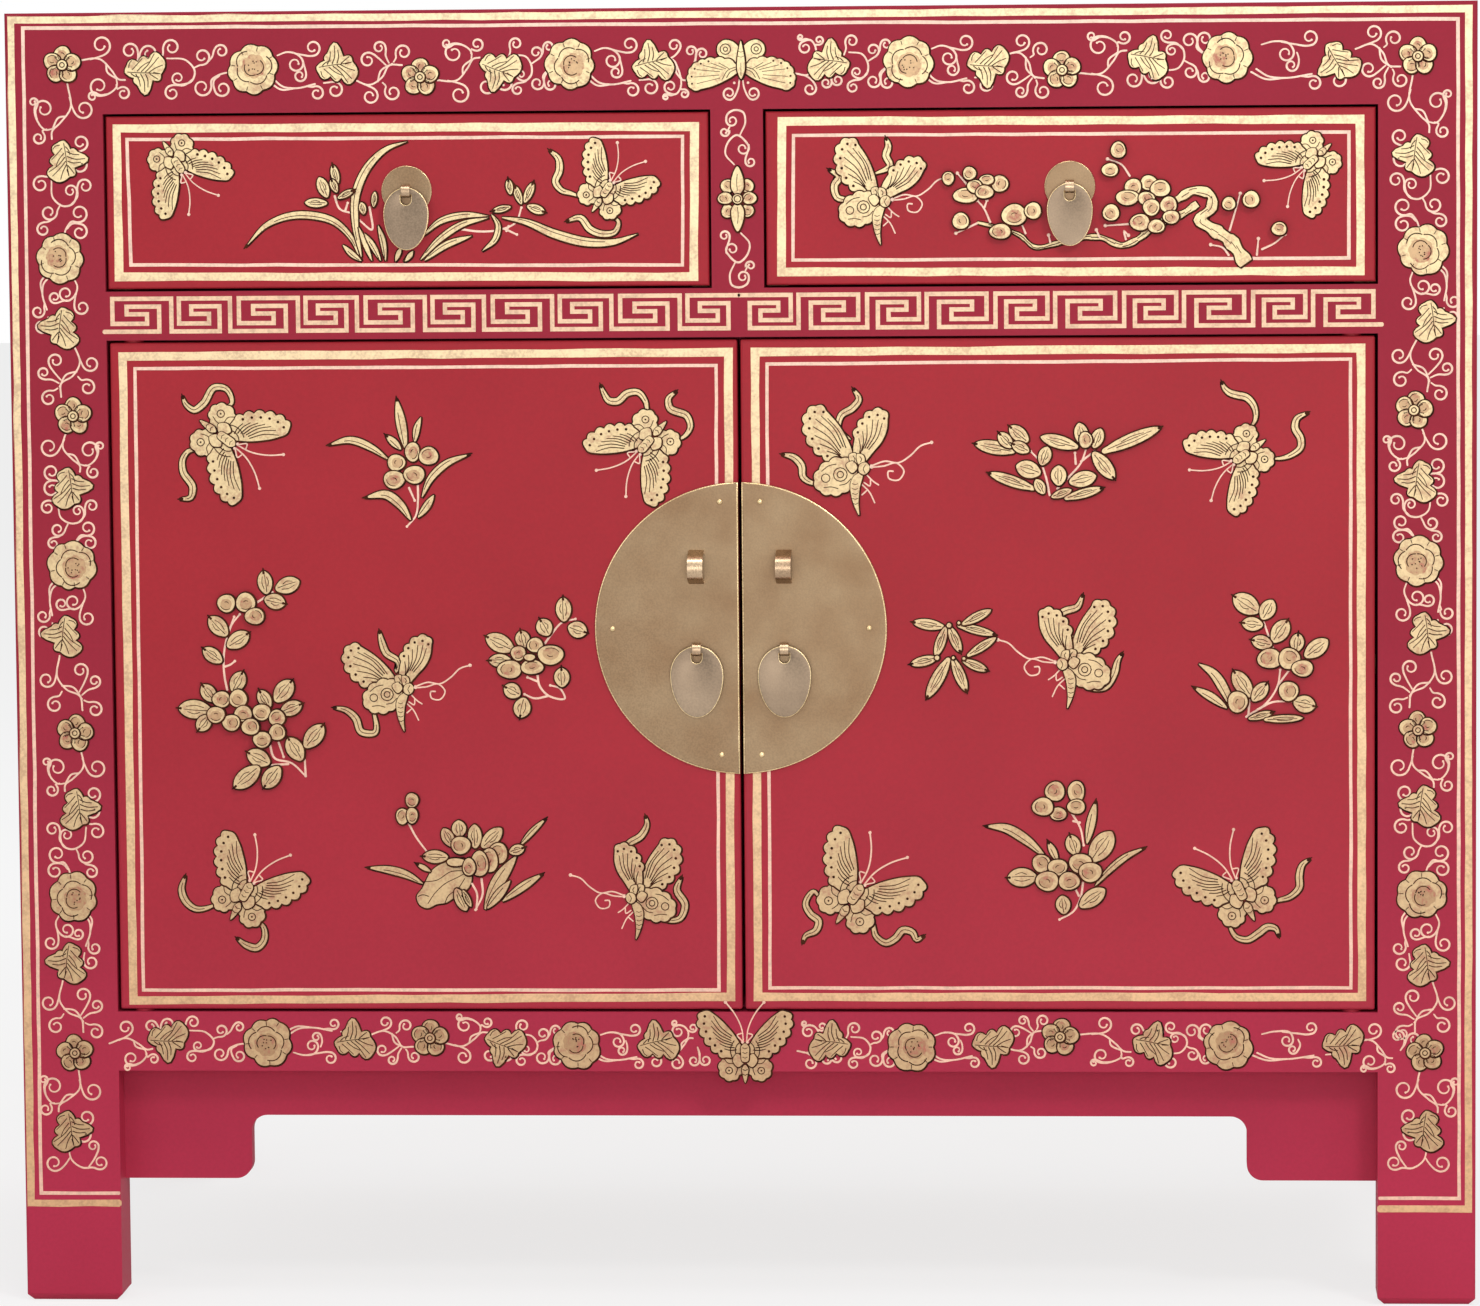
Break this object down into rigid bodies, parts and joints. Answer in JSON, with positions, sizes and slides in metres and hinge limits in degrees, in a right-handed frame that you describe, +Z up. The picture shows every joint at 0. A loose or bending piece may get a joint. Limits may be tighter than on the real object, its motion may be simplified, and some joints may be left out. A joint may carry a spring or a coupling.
{
  "type": "wedding cabinet",
  "caption": "Red lacquered Chinese cabinet on square legs: drawers over pivot-hung doors, a stepped apron, and a round split brass plate with lock loops and tag pulls.",
  "frame": {"origin": "on the floor, at the middle of the overall box, lock loops included", "axes": "+X to the right as seen from the front, +Y from the front to the back, +Z up"},
  "size_m": [0.9, 0.5166, 0.8],
  "materials": {
    "red_lacquer": "satin red lacquer over wood, painted in gold",
    "bare_wood": "planed and oiled",
    "aged_brass": "satin, slightly aged",
    "gold_paint": "bronze powder paint, brushed on"
  },
  "bodies": {
    "carcass": {"front_left_post": "red_lacquer", "front_right_post": "red_lacquer", "back_left_post": "red_lacquer", "back_right_post": "red_lacquer", "front_top_rail": "red_lacquer", "back_top_rail": "red_lacquer", "left_top_rail": "red_lacquer", "right_top_rail": "red_lacquer", "fret_rail": "red_lacquer", "back_middle_rail": "bare_wood", "front_bottom_rail": "red_lacquer", "back_bottom_rail": "red_lacquer", "left_bottom_rail": "red_lacquer", "right_bottom_rail": "red_lacquer", "drawer_divider": "red_lacquer", "top_panel": "red_lacquer", "left_side_panel": "red_lacquer", "right_side_panel": "red_lacquer", "back_panel": "bare_wood", "bottom_board": "bare_wood", "shelf": "bare_wood", "front_apron": "red_lacquer", "drawer_side_runners": "bare_wood", "drawer_centre_runner": "bare_wood"},
    "left_drawer": {"left_drawer_front": "red_lacquer", "left_drawer_left_side": "bare_wood", "left_drawer_right_side": "bare_wood", "left_drawer_back": "bare_wood", "left_drawer_bottom": "bare_wood", "left_drawer_pull_plate": "aged_brass", "left_drawer_pull_eye": "aged_brass"},
    "left_drawer_tag": {"left_drawer_pull_tag": "aged_brass"},
    "right_drawer": {"right_drawer_front": "red_lacquer", "right_drawer_left_side": "bare_wood", "right_drawer_right_side": "bare_wood", "right_drawer_back": "bare_wood", "right_drawer_bottom": "bare_wood", "right_drawer_pull_plate": "aged_brass", "right_drawer_pull_eye": "aged_brass"},
    "right_drawer_tag": {"right_drawer_pull_tag": "aged_brass"},
    "left_door": {"left_door_hinge_stile": "red_lacquer", "left_door_meeting_stile": "red_lacquer", "left_door_top_rail": "red_lacquer", "left_door_bottom_rail": "red_lacquer", "left_door_panel": "red_lacquer", "left_door_lock_plate": "aged_brass", "left_door_plate_nails": "aged_brass", "left_door_lock_loop": "aged_brass", "left_door_pull_eye": "aged_brass"},
    "left_door_tag": {"left_door_pull_tag": "aged_brass"},
    "right_door": {"right_door_hinge_stile": "red_lacquer", "right_door_meeting_stile": "red_lacquer", "right_door_top_rail": "red_lacquer", "right_door_bottom_rail": "red_lacquer", "right_door_panel": "red_lacquer", "right_door_lock_plate": "aged_brass", "right_door_plate_nails": "aged_brass", "right_door_lock_loop": "aged_brass", "right_door_pull_eye": "aged_brass"},
    "right_door_tag": {"right_door_pull_tag": "aged_brass"}
  },
  "joints": [
    {"name": "left_door_swing", "type": "hinge", "parent": "carcass", "child": "left_door", "pos_m": [-0.3742, -0.233, 0.3905], "axis": [0, 0, -1], "range_deg": [0, 115]},
    {"name": "right_door_swing", "type": "hinge", "parent": "carcass", "child": "right_door", "pos_m": [0.3742, -0.233, 0.3905], "axis": [0, 0, 1], "range_deg": [0, 115]},
    {"name": "left_drawer_slide", "type": "slide", "parent": "carcass", "child": "left_drawer", "axis": [0, -1, 0], "range_m": [0, 0.32]},
    {"name": "right_drawer_slide", "type": "slide", "parent": "carcass", "child": "right_drawer", "axis": [0, -1, 0], "range_m": [0, 0.32]},
    {"name": "left_door_tag_swing", "type": "hinge", "parent": "left_door", "child": "left_door_tag", "pos_m": [-0.027, -0.2462, 0.4074], "axis": [-1, 0, 0], "range_deg": [-3, 135]},
    {"name": "right_door_tag_swing", "type": "hinge", "parent": "right_door", "child": "right_door_tag", "pos_m": [0.027, -0.2462, 0.4074], "axis": [-1, 0, 0], "range_deg": [-3, 135]},
    {"name": "left_drawer_tag_swing", "type": "hinge", "parent": "left_drawer", "child": "left_drawer_tag", "pos_m": [-0.203, -0.2458, 0.6896], "axis": [-1, 0, 0], "range_deg": [-3, 135]},
    {"name": "right_drawer_tag_swing", "type": "hinge", "parent": "right_drawer", "child": "right_drawer_tag", "pos_m": [0.203, -0.2458, 0.6896], "axis": [-1, 0, 0], "range_deg": [-3, 135]}
  ]
}
